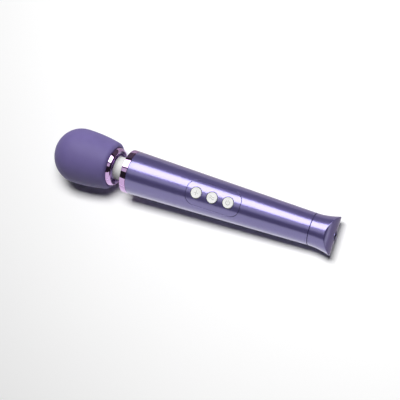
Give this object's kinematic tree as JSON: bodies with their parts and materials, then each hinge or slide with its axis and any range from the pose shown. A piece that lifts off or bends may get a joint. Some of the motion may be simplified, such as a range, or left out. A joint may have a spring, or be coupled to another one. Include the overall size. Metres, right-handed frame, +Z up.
{
  "type": "handheld wand massager",
  "caption": "Rechargeable wand massager: soft domed head on a flexible neck, tapered round handle with press keys, and a flared tail that holds the charging port.",
  "frame": {"origin": "on the surface the wand lies on, under the middle of its bounding box", "axes": "+X from the head towards the tail, dipping 2.4 degrees because the wand lies on its head and tail; +Z up, the way the keys face; +Y to the left of someone who looks from the head to the tail"},
  "size_m": [0.252, 0.047, 0.047],
  "materials": {
    "violet_silicone": "soft matte silicone, violet-blue",
    "violet_chrome": "mirror-bright plating with a violet tint",
    "violet_lacquer": "metallic violet lacquer under a clear coat",
    "white_silicone": "matte off-white silicone",
    "white_keys": "satin white, faintly domed",
    "socket_plastic": "natural nylon",
    "lamp_lens": "milky lamp lens",
    "inner_plastic": "dark grey moulded plastic",
    "black_plastic": "black moulded plastic",
    "steel": "plain bright steel",
    "brass": "plain brass",
    "copper": "lacquered copper winding",
    "ferrite": "sintered dark grey",
    "black_rubber": "matte black rubber",
    "board_green": "solder mask",
    "cell_wrap": null,
    "red_wire": "insulated wire",
    "black_wire": "insulated wire"
  },
  "bodies": {
    "handle": {"front_ring": "violet_chrome", "neck_clamp": "inner_plastic", "handle_tube": "violet_lacquer", "control_panel": "violet_lacquer", "key_gasket": "black_rubber", "intensity_switch": "black_plastic", "pattern_switch": "black_plastic", "power_switch": "black_plastic", "chassis": "inner_plastic", "main_board": "board_green", "board_screw_1": "steel", "board_screw_2": "steel", "board_screw_3": "steel", "board_screw_4": "steel", "battery_cell": "cell_wrap", "cell_tab_front": "steel", "cell_tab_rear": "steel", "motor_socket": "socket_plastic", "jack_socket": "socket_plastic", "controller_chip": "black_plastic", "charger_chip": "black_plastic", "key_light": "lamp_lens", "tail_cap": "violet_lacquer", "tail_seal": "black_rubber", "jack_bezel": "violet_lacquer", "charge_jack": "black_plastic", "jack_pin": "brass", "jack_lead_red": "red_wire", "jack_lead_black": "black_wire"},
    "neck_link": {"lead_guide": "inner_plastic", "neck_sleeve": "white_silicone", "neck_spring": "steel", "motor_lead_red": "red_wire", "motor_lead_black": "black_wire"},
    "head": {"head_cover": "violet_silicone", "motor_housing_front": "inner_plastic", "motor_housing_rear": "inner_plastic", "head_collar": "violet_chrome", "head_screw_1": "steel", "head_screw_2": "steel", "head_screw_3": "steel", "motor_can": "steel", "motor_front_bush": "brass", "motor_end_cap": "black_plastic", "motor_terminal_red": "brass", "motor_terminal_black": "brass", "magnet_upper": "ferrite", "magnet_lower": "ferrite", "motor_cushion": "black_rubber"},
    "rotor": {"motor_shaft": "steel", "eccentric_weight": "steel", "armature": "copper", "commutator": "copper"},
    "intensity_key": {"intensity_key": "white_keys", "intensity_plunger": "black_plastic"},
    "pattern_key": {"pattern_key": "white_keys", "pattern_plunger": "black_plastic"},
    "power_key": {"power_key": "white_keys", "power_plunger": "black_plastic"}
  },
  "joints": [
    {"name": "neck_pitch", "type": "hinge", "parent": "handle", "child": "neck_link", "pos_m": [-0.06182, 0, 0.02178], "axis": [0, 1, 0], "range_deg": [-15, 15], "stiffness_Nm_per_rad": 2, "deforming": ["neck_sleeve", "neck_spring", "motor_lead_red", "motor_lead_black"]},
    {"name": "neck_yaw", "type": "hinge", "parent": "neck_link", "child": "head", "pos_m": [-0.06182, 0, 0.02178], "axis": [0.0425, 0, 0.9991], "range_deg": [-15, 15], "stiffness_Nm_per_rad": 2, "deforming": ["neck_sleeve", "neck_spring", "motor_lead_red", "motor_lead_black"]},
    {"name": "motor_spin", "type": "hinge", "parent": "head", "child": "rotor", "pos_m": [-0.09599, 0, 0.02323], "axis": [0.9991, 0, -0.0425], "continuous": true},
    {"name": "intensity_key_press", "type": "slide", "parent": "handle", "child": "intensity_key", "axis": [-0.0425, 0, -0.9991], "range_m": [0, 0.0006], "stiffness_N_per_m": 300},
    {"name": "pattern_key_press", "type": "slide", "parent": "handle", "child": "pattern_key", "axis": [-0.0425, 0, -0.9991], "range_m": [0, 0.0006], "stiffness_N_per_m": 300},
    {"name": "power_key_press", "type": "slide", "parent": "handle", "child": "power_key", "axis": [-0.0425, 0, -0.9991], "range_m": [0, 0.0006], "stiffness_N_per_m": 300}
  ]
}
